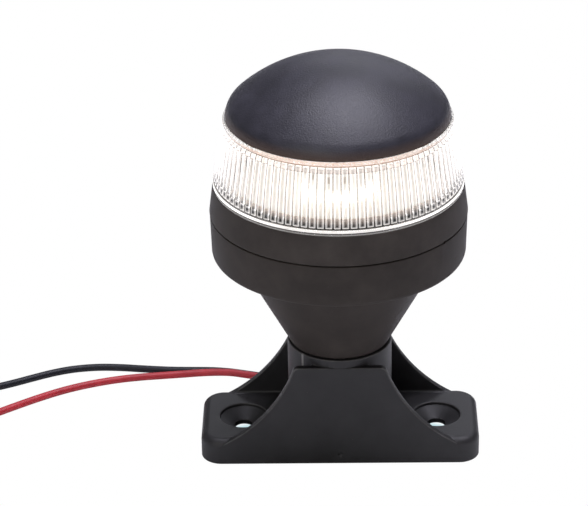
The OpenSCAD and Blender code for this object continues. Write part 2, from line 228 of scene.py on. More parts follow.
# ---------- solids as distance fields ----------
def cut_round(a, b, r):
    """Both, with the edge between them rounded."""
    return np.minimum(-r, np.maximum(a, b)) + np.hypot(np.maximum(a + r, 0), np.maximum(b + r, 0))


def join_round(a, b, r):
    """Either, with a fillet in the corner between them."""
    return np.maximum(r, np.minimum(a, b)) - np.hypot(np.maximum(r - a, 0), np.maximum(r - b, 0))


def rounded_box(x, y, hx, hy, r):
    """Distance to a rectangle of half sides hx and hy with its corners rounded."""
    qx, qy = np.abs(x) - (hx - r), np.abs(y) - (hy - r)
    return np.hypot(np.maximum(qx, 0), np.maximum(qy, 0)) + np.minimum(np.maximum(qx, qy), 0) - r


def gradient(f, p, step=2e-3):
    g = np.empty_like(p)
    for i in range(3):
        d = np.zeros(3)
        d[i] = step
        a, b = p + d, p - d
        g[:, i] = (f(a[:, 0], a[:, 1], a[:, 2]) - f(b[:, 0], b[:, 1], b[:, 2])) / (2 * step)
    return g


def skin(name, f, low, high, h):
    """The surface where f is zero, as one piece: a net of quads drawn onto the surface, flat parts merged."""
    axes = [np.arange(int(math.ceil((b - a) / h)) + 1) * h + a for a, b in zip(low, high)]
    grid = np.meshgrid(*axes, indexing="ij")
    v = f(*[g.astype(np.float32) for g in grid])
    inside = v < 0
    n = inside[:-1, :-1, :-1].astype(np.int8)
    count = np.zeros_like(n)
    corners = [(i, j, k) for i in (0, 1) for j in (0, 1) for k in (0, 1)]
    shape = np.array(inside.shape) - 1
    for i, j, k in corners:
        count += inside[i:i + shape[0], j:j + shape[1], k:k + shape[2]]
    cells = np.argwhere((count > 0) & (count < 8))
    index = np.full(tuple(shape), -1, np.int64)
    index[tuple(cells.T)] = np.arange(len(cells))
    total, hits = np.zeros((len(cells), 3)), np.zeros(len(cells))
    for a in corners:
        for axis in range(3):
            if a[axis]:
                continue
            b = list(a)
            b[axis] = 1
            va = v[tuple((cells + a).T)].astype(float)
            vb = v[tuple((cells + b).T)].astype(float)
            crossed = (va < 0) != (vb < 0)
            t = np.where(crossed, va / np.where(crossed, va - vb, 1), 0)
            place = np.array(a, float)[None, :].repeat(len(cells), 0)
            place[:, axis] = t
            total += place * crossed[:, None]
            hits += crossed
    p = np.array(low) + h * (cells + total / hits[:, None])
    quads = []
    for axis in range(3):
        u, w = [x for x in range(3) if x != axis]
        lo = [slice(None)] * 3
        hi = [slice(None)] * 3
        lo[axis], hi[axis] = slice(0, -1), slice(1, None)
        a, b = inside[tuple(lo)], inside[tuple(hi)]
        for flip, mask in ((False, a & ~b), (True, ~a & b)):
            e = np.argwhere(mask)
            e = e[(e[:, u] > 0) & (e[:, w] > 0) & (e[:, u] < shape[u]) & (e[:, w] < shape[w])]
            ring = []
            for du, dw in ((-1, -1), (0, -1), (0, 0), (-1, 0)):
                c = e.copy()
                c[:, u] += du
                c[:, w] += dw
                ring.append(index[tuple(c.T)])
            q = np.stack(ring, 1)
            quads.append(q[:, ::-1] if flip != (axis == 1) else q)
    quads = np.concatenate(quads)
    quads = quads[(quads >= 0).all(1)]
    # a few steps along the gradient bring each vertex onto the surface
    for _ in range(4):
        g = gradient(f, p)
        value = f(p[:, 0], p[:, 1], p[:, 2])
        step = value / np.maximum((g ** 2).sum(1), 0.25)
        p = p - np.clip(step, -h, h)[:, None] * g
    g = gradient(f, p)
    g /= np.maximum(np.linalg.norm(g, axis=1), 1e-9)[:, None]

    # vertices whose surroundings are flat may be merged
    bend = np.zeros(len(p))
    sides = np.concatenate([quads[:, [i, (i + 1) % 4]] for i in range(4)])
    turn = np.linalg.norm(g[sides[:, 0]] - g[sides[:, 1]], axis=1)
    np.maximum.at(bend, sides[:, 0], turn)
    np.maximum.at(bend, sides[:, 1], turn)
    near = bend.copy()
    np.maximum.at(near, sides[:, 0], bend[sides[:, 1]])
    np.maximum.at(near, sides[:, 1], bend[sides[:, 0]])
    flat = near < 1e-3

    mesh = bpy.data.meshes.new(name)
    mesh.from_pydata((p * MM).tolist(), [], quads.tolist())
    bm = bmesh.new()
    bm.from_mesh(mesh)
    bm.verts.ensure_lookup_table()
    vs = [bm.verts[i] for i in np.nonzero(flat)[0]]
    es = [e for e in bm.edges if flat[e.verts[0].index] and flat[e.verts[1].index]]
    bmesh.ops.dissolve_limit(bm, angle_limit=math.radians(0.2), use_dissolve_boundaries=False,
                             verts=vs, edges=es)
    bmesh.ops.remove_doubles(bm, verts=bm.verts, dist=h * MM / 3.5)
    bm.to_mesh(mesh)
    bm.free()
    co = np.zeros(len(mesh.vertices) * 3, np.float32)
    mesh.vertices.foreach_get("co", co)
    co = co.reshape(-1, 3).astype(float) / MM
    normals = gradient(f, co)
    normals /= np.maximum(np.linalg.norm(normals, axis=1), 1e-9)[:, None]
    mesh.shade_smooth()
    mesh.normals_split_custom_set_from_vertices(normals.tolist())
    return link(bpy.data.objects.new(name, mesh))


# ---------- free leads ----------
LEAD_D, CORE_D, LEAD_LENGTH = 2.2, 1.1, 0.150
EXIT_X, EXIT_Y, EXIT_Z = 1.6, 16.2, 2.5  # where the two leads leave the grommet, either side of the middle
BARE, TUCKED = 6.3, 0.4  # length of the bare strands, and how far they start inside the sleeve
STRAND_TWIST = 0.55  # turns of the strands over their bare length
RED_ROUTE = [
    (-1.6, 16.2, 2.5), (-1.7, 18.5, 2.5), (-2.4, 21, 2.4), (-4, 23.4, 2.3), (-6.4, 25.4, 2.2),
    (-9.4, 27.2, 2.2), (-13, 28.8, 2.2), (-17, 30.2, 2.2), (-21, 31.4, 2.2), (-25, 32.6, 2.2),
    (-29, 33.9, 2.2), (-33, 35, 2.2), (-37.5, 35.6, 2), (-42.5, 35.8, 1.7), (-48, 35.6, 1.4),
    (-54, 35.2, 1.2), (-60, 34.4, 1.2), (-66, 33.2, 1.2), (-72, 31.4, 1.2), (-78, 29, 1.2),
    (-84, 25.9, 1.2), (-90, 22, 1.2), (-96, 17.6, 1.2), (-102, 13, 1.2), (-108, 8.6, 1.2),
    (-114, 5, 1.2), (-119, 2.8, 1.2), (-124.4, 1.4, 1.2), (-128.8, 0.6, 1.2)]
BLACK_ROUTE = [
    (1.6, 16.2, 2.5), (1.5, 18.8, 2.5), (0.6, 22, 2.4), (-1.6, 25, 2.1), (-4.8, 27.4, 1.8),
    (-8.4, 29.3, 1.5), (-12.4, 30.9, 1.3), (-16.6, 32.4, 1.2), (-20.8, 33.6, 1.2), (-25, 34.8, 1.2),
    (-29.5, 36.2, 1.2), (-34, 37.4, 1.2), (-39, 38.1, 1.2), (-45, 38.3, 1.2), (-52, 38.6, 1.2),
    (-60, 39.5, 1.2), (-67, 40.4, 1.2), (-74, 40.6, 1.2), (-81, 39.5, 1.2), (-87, 37.3, 1.2),
    (-92.6, 34.4, 1.2), (-98.4, 31.2, 1.2), (-104.2, 28.4, 1.2), (-110, 26.2, 1.2), (-116, 24.6, 1.2),
    (-121, 23.8, 1.2), (-126, 23.4, 1.2), (-131, 23.2, 1.2)]


def smooth_route(points, per_span=6):
    """A Catmull-Rom line through the points."""
    p = [Vector(q) for q in points]
    p = [2 * p[0] - p[1]] + p + [2 * p[-1] - p[-2]]
    out = []
    for i in range(1, len(p) - 2):
        a, b, c, d = p[i - 1:i + 3]
        for k in range(per_span):
            t = k / per_span
            out.append(0.5 * (2 * b + (c - a) * t + (2 * a - 5 * b + 4 * c - d) * t ** 2
                              + (3 * b - a - 3 * c + d) * t ** 3))
    return out + [p[-2]]


def lead(name, route):
    pts, faces = tube(smooth_route(route), LEAD_D / 2, 20)
    return outward(mesh_piece(name, pts, faces))


def strands(name, route):
    """The bare end of a lead: seven twisted wires."""
    end = Vector(route[-1])
    t = (end - Vector(route[-2])).normalized()
    side = t.cross(Vector((0, 0, 1))).normalized()
    up = side.cross(t)
    r = CORE_D / 6
    parts = [tube([end + t * ((BARE + 0.05) * k / 12 - TUCKED) for k in range(13)], r)]
    for w in range(6):
        line = []
        for k in range(25):
            a = 2 * PI * (w / 6 + STRAND_TWIST * k / 24)
            along = t * ((BARE - 0.12 * (w % 3)) * k / 24 - TUCKED)
            line.append(end + along + 2 * r * (math.cos(a) * side + math.sin(a) * up))
        parts.append(tube(line, r))
    return joined(name, parts)


red_lead = lead("red_lead_insulation", RED_ROUTE)
black_lead = lead("black_lead_insulation", BLACK_ROUTE)
red_core = strands("red_lead_strands", RED_ROUTE)
black_core = strands("black_lead_strands", BLACK_ROUTE)
for wire, core, colour, x, route in ((red_lead, red_core, "red", -EXIT_X, RED_ROUTE),
                                     (black_lead, black_core, "black", EXIT_X, BLACK_ROUTE)):
    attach(wire, BASE)
    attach(core, BASE)
    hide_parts(colour + "_lead")
    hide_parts(colour + "_conductor")


# ---------- materials ----------
def srgb(*c):
    """Linear colour of an sRGB one given in 0 to 255."""
    shares = (v / 255 for v in c)
    return tuple(v / 12.92 if v <= 0.04045 else ((v + 0.055) / 1.055) ** 2.4 for v in shares) + (1.0,)


def scaled(colour, k):
    """A linear colour made lighter or darker."""
    return tuple(min(1.0, c * k) for c in colour[:3]) + (1.0,)


DUST = (150, 148, 142)
LED_WARM = (1.0, 0.97, 0.93, 1.0)


class Look:
    """A material's node tree, read in the object's own coordinates, in metres."""

    def __init__(self, name):
        self.material = bpy.data.materials.new(name)
        self.material.use_nodes = True
        self.tree = self.material.node_tree
        self.tree.nodes.clear()
        self.out = self.add("ShaderNodeOutputMaterial")
        self.shader = self.add("ShaderNodeBsdfPrincipled")
        self.tree.links.new(self.shader.outputs[0], self.out.inputs["Surface"])
        self.place = self.add("ShaderNodeTexCoord").outputs["Object"]

    def add(self, kind, **values):
        node = self.tree.nodes.new(kind)
        for k, v in values.items():
            setattr(node, k, v)
        return node

    def wire(self, a, b):
        self.tree.links.new(a, b)

    def set(self, **values):
        for k, v in values.items():
            self.shader.inputs[k.replace("_", " ")].default_value = v
        return self

    def noise(self, size_mm, detail, rough=0.5, stretch=None):
        n = self.add("ShaderNodeTexNoise")
        n.inputs["Scale"].default_value = 1000.0 / size_mm
        n.inputs["Detail"].default_value = detail
        n.inputs["Roughness"].default_value = rough
        place = self.place
        if stretch:
            m = self.add("ShaderNodeMapping")
            m.inputs["Scale"].default_value = stretch
            self.wire(place, m.inputs["Vector"])
            place = m.outputs[0]
        self.wire(place, n.inputs["Vector"])
        return n.outputs["Fac"]

    def cells(self, size_mm, feature="F1"):
        n = self.add("ShaderNodeTexVoronoi", feature=feature)
        n.inputs["Scale"].default_value = 1000.0 / size_mm
        self.wire(self.place, n.inputs["Vector"])
        return n

    def remap(self, value, a, b, c, d):
        n = self.add("ShaderNodeMapRange")
        for key, v in zip(("From Min", "From Max", "To Min", "To Max"), (a, b, c, d)):
            n.inputs[key].default_value = v
        self.wire(value, n.inputs["Value"])
        return n.outputs[0]

    def math(self, op, a, b):
        n = self.add("ShaderNodeMath", operation=op)
        for s, v in zip(n.inputs, (a, b)):
            if isinstance(v, (int, float)):
                s.default_value = v
            else:
                self.wire(v, s)
        return n.outputs[0]

    def blend(self, fac, a, b):
        n = self.add("ShaderNodeMix", data_type="RGBA")
        self.wire(fac, n.inputs["Factor"])
        for s, v in ((n.inputs["A"], a), (n.inputs["B"], b)):
            if isinstance(v, tuple):
                s.default_value = v
            else:
                self.wire(v, s)
        return n.outputs["Result"]

    def colour(self, value):
        self.wire(value, self.shader.inputs["Base Color"])
        return self

    def rough(self, value):
        self.wire(value, self.shader.inputs["Roughness"])
        return self

    def bump(self, height, strength, depth_mm, below=None):
        n = self.add("ShaderNodeBump")
        n.inputs["Strength"].default_value = strength
        n.inputs["Distance"].default_value = depth_mm * MM
        self.wire(height, n.inputs["Height"])
        if below is not None:
            self.wire(below, n.inputs["Normal"])
        self.wire(n.outputs[0], self.shader.inputs["Normal"])
        return n.outputs[0]


def moulded(name, colour, gloss, rough=0.5, grain_mm=0.3, grain=0.22, depth_mm=0.03, lift=1.35, painted_lamp_glow=None,
            edge=None):
    """Moulded plastic: a fine pebbled grain, faint flow marks, and a few specks of dust.

    The band near the lamp, two heights in mm and a colour, is painted light: the colour comes in from the first
    height to the second. The edge colour is a painted highlight on sharp outer edges."""
    look = Look(name)
    look.set(Specular_IOR_Level=gloss)
    base = srgb(*colour)
    light = scaled(base, lift)
    dark = scaled(base, 0.8)
    flow = look.noise(9, detail=4, rough=0.6)
    fine = look.noise(grain_mm, detail=2, rough=0.6)
    tone = look.blend(look.remap(flow, 0.35, 0.7, 0, 1), dark, light)
    spot = look.remap(look.cells(2.6).outputs["Distance"], 0.02, 0.035, 1, 0)
    chosen = look.remap(look.noise(7, detail=0), 0.56, 0.6, 0, 0.35)
    tone = look.blend(look.math("MULTIPLY", spot, chosen), tone, srgb(*DUST))
    # painted highlight: sharp outer edges, where Pointiness is high, are lightened towards the edge colour, more
    # in some places than others
    if edge:
        bend = look.add("ShaderNodeNewGeometry").outputs["Pointiness"]
        edge_highlight = look.math("MULTIPLY", look.remap(bend, 0.525, 0.58, 0, 1), look.remap(flow, 0.3, 0.6, 0.5, 1))
        tone = look.blend(edge_highlight, tone, srgb(*edge))
    # painted light from the lamp: the colour comes in over a band of heights
    if painted_lamp_glow:
        part = look.add("ShaderNodeSeparateXYZ")
        look.wire(look.place, part.inputs[0])
        tone = look.blend(look.remap(part.outputs["Z"], painted_lamp_glow[0] * MM, painted_lamp_glow[1] * MM, 0, 1), tone, srgb(*painted_lamp_glow[2]))
    look.colour(tone)
    look.rough(look.math("ADD", look.remap(flow, 0.3, 0.75, rough - 0.04, rough + 0.06),
                         look.remap(fine, 0.3, 0.7, -0.03, 0.03)))
    wave = look.bump(look.noise(14, detail=2), 0.15, 0.12)
    look.bump(fine, grain, depth_mm, wave)
    return look.material


def soft_rubber(name, colour, rough=0.6):
    """Rubber, nylon or a small part's matt body."""
    look = Look(name)
    base = srgb(*colour)
    light = scaled(base, 1.5)
    tone = look.noise(1.2, detail=4, rough=0.65)
    look.colour(look.blend(tone, base, light)).rough(look.remap(tone, 0.3, 0.7, rough - 0.08, rough + 0.08))
    look.bump(look.noise(0.16, detail=2), 0.25, 0.02)
    return look.material


def lead_sleeve(name, colour, bright, gloss):
    """PVC insulation: slightly glossy, with faint draw marks and handling smudges."""
    look = Look(name)
    smudge = look.noise(3.5, detail=4, rough=0.6)
    look.colour(look.blend(look.remap(smudge, 0.3, 0.75, 0, 1), srgb(*colour), srgb(*bright)))
    look.rough(look.remap(look.noise(1.4, detail=3), 0.3, 0.7, 0.46, 0.58))
    look.set(Coat_Weight=0.06, Coat_Roughness=0.35, Specular_IOR_Level=gloss)
    look.bump(look.noise(0.5, detail=2, rough=0.5, stretch=(1, 6, 6)), 0.12, 0.03)
    return look.material


def metal(name, colour, rough, brushed=None):
    """Bare metal with fine marks, drawn out where it is brushed, and faint stains."""
    look = Look(name)
    look.set(Metallic=1.0)
    base = srgb(*colour)
    dull = scaled(base, 0.72)
    marks = look.noise(0.5, detail=3, rough=0.6, stretch=brushed)
    stain = look.noise(4, detail=4, rough=0.6)
    look.colour(look.blend(look.remap(stain, 0.3, 0.75, 0, 1), dull, base))
    look.rough(look.math("ADD", look.remap(marks, 0.3, 0.7, rough - 0.06, rough + 0.08),
                         look.remap(stain, 0.3, 0.7, -0.03, 0.05)))
    look.bump(marks, 0.18, 0.015)
    return look.material


def board(name, colour, trace, glow=0.0):
    """Solder mask over copper, with tracks as a slightly different tone."""
    look = Look(name)
    cells = look.cells(2.2, "DISTANCE_TO_EDGE")
    track = look.remap(cells.outputs["Distance"], 0.03, 0.07, 1, 0)
    tone = look.blend(look.remap(look.noise(2.5, detail=3), 0.3, 0.7, 0, 1), srgb(*colour),
                      scaled(srgb(*colour), 0.86))
    look.colour(look.blend(look.math("MULTIPLY", track, 0.6), tone, srgb(*trace)))
    look.rough(look.remap(look.noise(0.8, detail=2), 0.3, 0.7, 0.32, 0.45))
    look.bump(track, 0.2, 0.03)
    # painted light: the board glows as if lit by the LEDs on it
    if glow:
        look.set(Emission_Color=LED_WARM, Emission_Strength=glow)
    return look.material


def glowing(name, colour, centre, strength, size_mm=1.1):
    """A translucent part with the LEDs' light in it."""
    look = Look(name)
    spot = look.noise(size_mm, detail=2)
    tone = look.blend(look.remap(spot, 0.3, 0.7, 0, 1), srgb(*colour), srgb(*centre))
    look.colour(tone).rough(look.remap(spot, 0.3, 0.7, 0.2, 0.35))
    look.wire(tone, look.shader.inputs["Emission Color"])
    look.set(Emission_Strength=strength)
    return look.material


def reflector(name, glow):
    """Gloss white, lit by the LEDs beside it."""
    look = Look(name)
    haze = look.noise(6, detail=4, rough=0.6)
    look.colour(look.blend(look.remap(haze, 0.3, 0.75, 0, 1), srgb(236, 230, 220), srgb(252, 249, 243)))
    look.rough(look.remap(look.noise(1.0, detail=3), 0.3, 0.7, 0.28, 0.42))
    look.bump(look.noise(0.6, detail=2), 0.12, 0.02)
    look.set(Emission_Color=(1.0, 0.97, 0.94, 1.0), Emission_Strength=glow)
    return look.material


def clear_plastic(name, edge_glow, painted_shade_tint):
    """Moulded clear plastic: faint ripple and haze, painted light caught in the ribs' edges, and painted shade
    in the grooves and low on the ribs, for the dark that shows through.
    """
    look = Look(name)
    haze = look.noise(5, detail=4, rough=0.6)
    clear = look.blend(look.remap(haze, 0.3, 0.75, 0, 1), (0.975, 0.97, 0.962, 1), (1.0, 0.998, 0.994, 1))
    # painted shade: the base colour darkens where the vertex mark says, standing in for dark parts seen through
    # the lens
    painted_shade = look.add("ShaderNodeAttribute", attribute_name="painted_shade").outputs["Fac"]
    look.colour(look.blend(painted_shade, clear, painted_shade_tint))
    look.rough(look.remap(look.noise(1.6, detail=4), 0.3, 0.75, 0.01, 0.06))
    look.bump(look.noise(3.0, detail=3), 0.1, 0.05)
    lit = look.add("ShaderNodeAttribute", attribute_name="lit").outputs["Fac"]
    look.wire(look.math("MULTIPLY", lit, look.remap(haze, 0.3, 0.7, 0.8 * edge_glow, edge_glow)),
              look.shader.inputs["Emission Strength"])
    look.set(Transmission_Weight=1.0, IOR=1.49, Emission_Color=(1.0, 0.96, 0.93, 1.0))
    return look.material


MATERIALS = {
    # the base's edge colour is a painted highlight along its sharp edges
    "base": moulded("base_black_plastic", (35, 34, 36), gloss=0.45, edge=(132, 130, 128)),
    # painted light from the lamp on the housing's rim inside the lens
    "housing": moulded("housing_black_plastic", (61, 56, 53), rough=0.55, lift=1.14, gloss=0.12,
                       painted_lamp_glow=(83, 85.4, (214, 198, 184))),
    "bezel": moulded("bezel_black_plastic", (66, 61, 58), rough=0.55, lift=1.14, gloss=0.12),
    # painted light from the lens on the cap's shoulder
    "cap": moulded("cap_black_plastic", (44, 43, 51), rough=0.46, grain_mm=0.48, grain=1.0, depth_mm=0.09,
                   gloss=0.45, painted_lamp_glow=(106, 103.3, (74, 56, 46))),
    "rubber": soft_rubber("seal_rubber", (22, 22, 23)),
    "grommet": soft_rubber("grommet_rubber", (28, 28, 29), 0.55),
    "red": lead_sleeve("lead_red_pvc", (158, 22, 34), (182, 40, 50), 0.5),
    "black": lead_sleeve("lead_black_pvc", (12, 14, 20), (24, 27, 36), 0.3),
    "tin": metal("tinned_strands", (205, 196, 182), 0.32),
    "steel": metal("stainless_steel", (196, 196, 194), 0.28, (1, 1, 8)),
    "nut": soft_rubber("nut_nylon", (52, 52, 54), 0.45),
    "aluminium": metal("column_aluminium", (206, 207, 208), 0.34, (6, 6, 1)),
    "white_board": board("led_board_mask", (240, 240, 235), (222, 218, 206), glow=0.25),
    "green_board": board("driver_board_mask", (26, 84, 48), (46, 118, 70)),
    "package": glowing("led_package_body", (255, 248, 238), (255, 252, 246), 0.6),
    "glow": glowing("led_phosphor", (255, 250, 240), (255, 253, 248), 1.6, 0.7),
    "white_post": reflector("column_white_coat", 0.5),
    "pale_chip": soft_rubber("chip_ceramic", (186, 178, 168), 0.4),
    "white": reflector("reflector_white", 0.05),
    "feed": soft_rubber("feed_wire_sleeve", (214, 208, 192), 0.4),
    "can": metal("capacitor_can", (198, 200, 204), 0.36),
    "dark_part": soft_rubber("component_body", (38, 37, 38), 0.42),
    "solder": metal("solder", (200, 204, 210), 0.24),
    "lens": clear_plastic("lens_clear_acrylic", 0.78, (0.2, 0.16, 0.14, 1)),
    "gasket": glowing("gasket_silicone", (236, 208, 192), (250, 230, 217), 0.48, 1.5),
}


def paint(obj, key):
    slots = obj.data.materials
    slots.clear()
    slots.append(MATERIALS[key])
    return obj


for node, key in {
    "lens_oring": "rubber", "cap_gasket": "gasket", "neck_oring": "rubber", "neck_washer": "steel",
    "neck_nut": "nut", "heat_spreader": "aluminium", "spreader_screws": "steel", "led_post": "white_post",
    "post_screws": "steel", "led_boards": "white_board", "led_packages": "package", "led_domes": "glow",
    "led_resistors": "pale_chip", "led_feed_wires": "feed", "lower_reflector": "white",
    "top_reflector": "white", "reflector_screws": "steel", "driver_board": "green_board",
    "driver_screws": "steel", "driver_capacitors": "can", "driver_coil": "dark_part", "driver_chip": "dark_part",
    "driver_diodes": "dark_part", "driver_resistors": "dark_part", "solder_joints": "solder",
    "inner_lead_red": "red", "inner_lead_black": "black",
}.items():
    paint(NODES[node], key)
for piece, key in ((red_lead, "red"), (black_lead, "black"), (red_core, "tin"), (black_core, "tin")):
    paint(piece, key)


def place(obj, body, key, slot, *nodes):
    """Gives a piece its material and its body, and hides the CAD nodes that it stands for."""
    paint(obj, key)
    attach(obj, body)
    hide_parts(*nodes)
    return obj


# ---------- mounting base ----------
PLATE_X, PLATE_Y, PLATE_Z, PLATE_CORNER, PLATE_EDGE = 40, 15, 7.7, 6, 2.3
BOSS_R, BOSS_Z, BEAD_IN, BEAD_Z = 14.9, 32.9, 13.5, 33.6
WEB_Y, WEB_HALF, WEB_Z, WEB_END = 14, 1, 31.3, 34.5
ARC_R, ARC_X, ARC_Z = 43.1, 53.95, 44.5
SHARP_FILLET, FILLET = 0.02, 0.8
WELL_X, WELL_R, HOLE_R, HOLE_Z, HOLE_FLOOR = 28, 6.8, 2.6, 4.6, 3.1
BORE_R, LEDGE_R, POCKET_R, POCKET_Z, BORE_Z = 10.3, 8.4, 12.6, 14, 17
HOLLOW_X, HOLLOW_Y, HOLLOW_Z, HOLLOW_CORNER, COLLAR_R = 37.6, 12.6, 5.3, 3.6, 8.6
CROSS_WALL_X, CROSS_WALL_HALF = 17.5, 0.8
NOTCH_HALF, NOTCH_Y, NOTCH_Z = 3.5, 10, 5.2
GATE_Y, GATE_Z, GATE_R = -15.75, 2.9, 1.05


def well_air(x, y, z):
    """Distance from the nearer screw hole's axis, and the countersunk hole itself, negative in its air."""
    r = np.hypot(np.abs(x) - WELL_X, y)
    rise, run = 2.2, 4.2
    cone = ((r - HOLE_R) * rise - (z - HOLE_Z) * run) / math.hypot(rise, run)
    return r, np.minimum(np.maximum(cone, r - WELL_R), r - HOLE_R)


def base_solid(x, y, z):
    ax, r = np.abs(x), np.hypot(x, y)
    plate = cut_round(rounded_box(x, y, PLATE_X, PLATE_Y, PLATE_CORNER), z - PLATE_Z, PLATE_EDGE)
    # the boss, with a raised bead round its top
    boss = cut_round(r - BOSS_R, z - BEAD_Z, 0.3)
    boss = cut_round(boss, -np.maximum(r - BEAD_IN, BOSS_Z - z), 0.2)
    fillet = SHARP_FILLET + FILLET * np.clip((13 - np.abs(y)) / 2, 0, 1)
    body = join_round(plate, boss, fillet)
    # the webs, with their concave ends and a fillet along the inner foot
    outline = cut_round(z - WEB_Z, ARC_R - np.hypot(ax - ARC_X, z - ARC_Z), 1.1)
    outline = np.maximum(np.maximum(outline, 4 - z), ax - WEB_END)
    web = cut_round(outline, np.abs(np.abs(y) - WEB_Y) - WEB_HALF, 0.38)
    fillet = SHARP_FILLET + FILLET * np.clip((13.5 - np.abs(y)) / 0.5, 0, 1)
    body = join_round(body, web, fillet)
    body = cut_round(body, -z, 0.35)
    # the bore for the neck, and the nut's pocket
    bore = np.maximum(r - BORE_R, BORE_Z - z)
    pocket = np.maximum(r - POCKET_R, z - POCKET_Z)
    body = cut_round(body, -np.minimum(np.minimum(bore, r - LEDGE_R), pocket), 0.3)
    # the wells, the hollow underside with its cross walls, and the notch for the leads
    wr, air = well_air(x, y, z)
    body = cut_round(body, -air, 0.45)
    hollow = np.maximum(rounded_box(x, y, HOLLOW_X, HOLLOW_Y, HOLLOW_CORNER), z - HOLLOW_Z)
    hollow = np.maximum(hollow, -np.minimum(r - BOSS_R, np.maximum(wr - COLLAR_R, HOLE_FLOOR - z)))
    hollow = np.maximum(hollow, CROSS_WALL_HALF - np.abs(ax - CROSS_WALL_X))
    body = cut_round(body, -hollow, 0.25)
    body = np.maximum(body, -np.maximum(np.maximum(ax - NOTCH_HALF, NOTCH_Y - y), z - NOTCH_Z))
    # the mark of the moulding gate
    gate = np.sqrt(x ** 2 + (y - GATE_Y) ** 2 + (z - GATE_Z) ** 2) - GATE_R
    return cut_round(body, -gate, 0.12)


base = skin("mounting_base_moulding", base_solid, (-40.6, -15.6, -0.6), (40.6, 15.6, 34), 0.27)
place(base, BASE, "base", "base_black", "mounting_base")


# ---------- grommet ----------
def grommet_solid(x, y, z):
    plate = cut_round(rounded_box(x, z - 3.3, 4.6, 3.1, 1.0), np.abs(y - 15.6) - 0.6, 0.35)
    plug = np.maximum(rounded_box(x, z - 2.6, 3.4, 2.5, 0.5), np.abs(y - 13.6) - 1.5)
    r = np.hypot(np.abs(x) - EXIT_X, z - EXIT_Z)
    lip = cut_round(r - 1.75, np.abs(y - 15.9) - 0.75, 0.3)
    body = np.minimum(join_round(plate, lip, 0.25), plug)
    return cut_round(body, 1.2 - r, 0.15)


grommet = skin("lead_grommet", grommet_solid, (-5, 11.7, -0.2), (5, 17.1, 6.8), 0.14)
place(grommet, BASE, "grommet", "seal_rubber", "cable_grommet")


# ---------- lower housing ----------
CONE_R0, CONE_Z0, CONE_R1, HOUSE_Z0 = 14.3, 34, 29, 61.5
SEAM_Z, COLLAR_TOP, RIM_TOP, SHELF_Z = 73.98, 79, 85.6, 74
LUGS, TWIST, NICK = (60, 180, 300), 20, -37
SPREADER_HOLES, BOARD_HOLES = (30, 150, 270), (90, 210, 330)


def cone_r(z):
    return CONE_R0 + (CONE_R1 - CONE_R0) * (z - CONE_Z0) / (HOUSE_Z0 - CONE_Z0)


def nick_tool():
    """The small nick across the seam."""
    return prism("nick", turned(box_plan(35.7, -0.4, 38, 0.4), NICK), 73.6, 74.65)


# the neck's thread, six turns as plain rings
thread = []
for i in range(6):
    z = 7.6 + 1.5 * i
    thread += [(8.1, z), (8.1, z + 0.35), (7.7, z + 0.75), (7.7, z + 1.1)]
housing_outline = filleted(
    [(6.5, 6.5, 0.3), (7.7, 6.5), (7.7, 7.3)] + thread
    + [(8.1, 17.2), (10.1, 17.2, 0.4), (10.1, 32.9), (11.6, 32.9), (11.6, 33.9), (14.05, 33.9, 0.2),
       (CONE_R0, 34.2, 0.2), (CONE_R1, HOUSE_Z0, 0.9), (35.75, HOUSE_Z0, 1.5), (36.1, SEAM_Z, 0.32),
       (33.34, SEAM_Z), (33.34, COLLAR_TOP, 0.2), (31.9, COLLAR_TOP), (31.9, 78.2), (30.9, 78.2),
       (30.9, RIM_TOP, 0.2), (29.9, RIM_TOP, 0.2), (29.9, 74.6), (31.2, 73.3), (33.2, 71.3, 0.6),
       (33.2, 64, 0.6), (26, 64, 0.5), (26, HOUSE_Z0, 0.6), (cone_r(37) - 3, 37, 1), (6.5, 36, 0.6)])
housing = lathe("lower_housing_moulding", housing_outline)
extras = [prism("rib", turned(box_plan(28.5, -1, 33.6, 1), a), 63.5, SHELF_Z + 0.01)
          for a in range(30, 390, 60)]
extras += [prism("boss", turned(disc(27.2, 0, 3), a), 62.4, SHELF_Z) for a in SPREADER_HOLES]
extras += [prism("pad", turned(disc(25.2, 0, 2.4), a), 62.4, 67) for a in BOARD_HOLES]
combine(housing, extras, "UNION")
cuts = [prism("hole", turned(disc(27.2, 0, 1.1, 20), a), 66, 80) for a in SPREADER_HOLES]
cuts += [prism("hole", turned(disc(25.2, 0, 0.9, 20), a), 64.4, 70) for a in BOARD_HOLES]
for a in LUGS:
    cuts.append(prism("slot", sector(a - 5.4, a + TWIST + 5.4, 32.3, 34.2), 75.3, 76.7))
    cuts.append(prism("slot", sector(a + TWIST - 5.7, a + TWIST + 5.7, 32.4, 34), 76, 80))
cuts.append(nick_tool())
combine(housing, cuts, "DIFFERENCE")
place(housing, BASE, "housing", "housing_black", "lower_housing")


# ---------- bezel ring ----------
bezel = lathe("bezel_ring_moulding", filleted(
    [(33.4, 74.3, 0.15), (36.23, 74.3, 0.32), (35.12, 82.8, 0.3), (33.4, 82.8, 0.1)]))
combine(bezel, [prism("lug", sector(a - 5, a + 5, 32.5, 34.2), 75.4, 76.6) for a in LUGS], "UNION")
combine(bezel, [nick_tool()], "DIFFERENCE")
place(bezel, HEAD, "bezel", "bezel_black", "bezel_ring")


